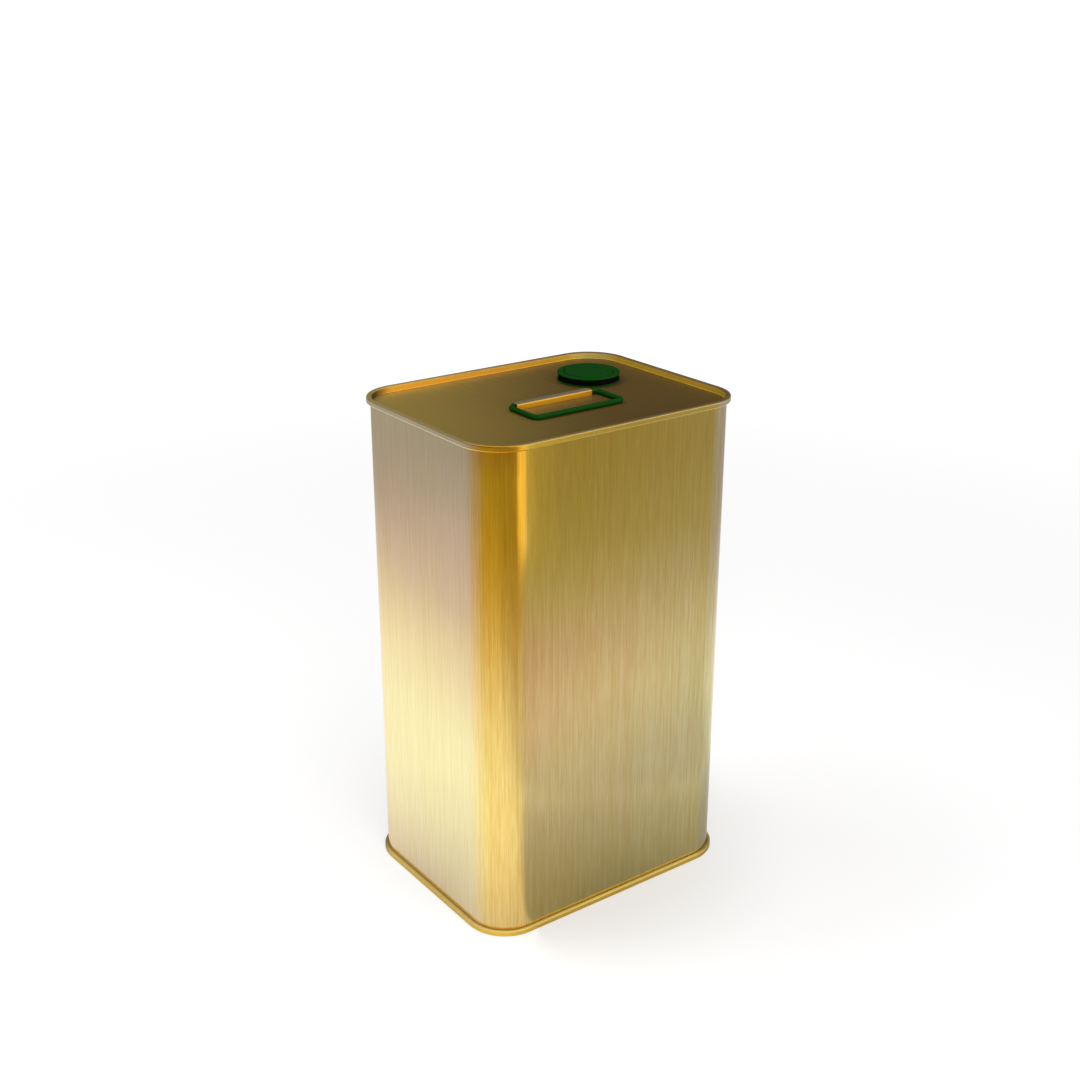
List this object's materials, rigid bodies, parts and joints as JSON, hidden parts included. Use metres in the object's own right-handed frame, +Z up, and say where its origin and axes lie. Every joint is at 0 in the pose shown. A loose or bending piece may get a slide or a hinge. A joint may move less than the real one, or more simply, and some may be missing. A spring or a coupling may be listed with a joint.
{
  "type": "olive oil tin",
  "caption": "Rectangular gold tin for olive oil: double-seamed sleeve and ends, hinged green bail handle on a welded strap, and a pull-up pouring spout under a lift-off cap.",
  "frame": {"origin": "middle of the base, on the plane that the bottom seam stands on", "axes": "+Z up along the tin's height, +X along its broad side towards the spout, -Y towards its front, where the handle lies"},
  "size_m": [0.1538, 0.1208, 0.2566],
  "materials": {
    "sleeve_gold": "gold lacquered tinplate, vertical brushed grain",
    "end_gold": "gold lacquered tinplate, bright satin",
    "strap_gold": "gold lacquered tinplate, bright",
    "seam_rubber": "cured sealing compound",
    "green_plastic": "moulded, satin",
    "black_rubber": "smooth"
  },
  "bodies": {
    "tin": {"body_sleeve": "sleeve_gold", "bottom_end": "end_gold", "bottom_seam_compound": "seam_rubber", "top_end": "end_gold", "top_seam_compound": "seam_rubber", "handle_strap": "strap_gold", "spout_collar": "green_plastic", "seal_ring": "black_rubber"},
    "handle": {"handle": "green_plastic"},
    "spout": {"spout_tube": "green_plastic"},
    "cap": {"spout_cap": "green_plastic"}
  },
  "joints": [
    {"name": "handle_swing", "type": "hinge", "parent": "tin", "child": "handle", "pos_m": [0.0006, -0.003, 0.2531], "axis": [-1, 0, 0], "range_deg": [0, 150]},
    {"name": "spout_pull", "type": "slide", "parent": "tin", "child": "spout", "axis": [0, 0, 1], "range_m": [0, 0.016]},
    {"name": "cap_lift", "type": "slide", "parent": "spout", "child": "cap", "axis": [0, 0, 1], "range_m": [0, 0.03]}
  ]
}
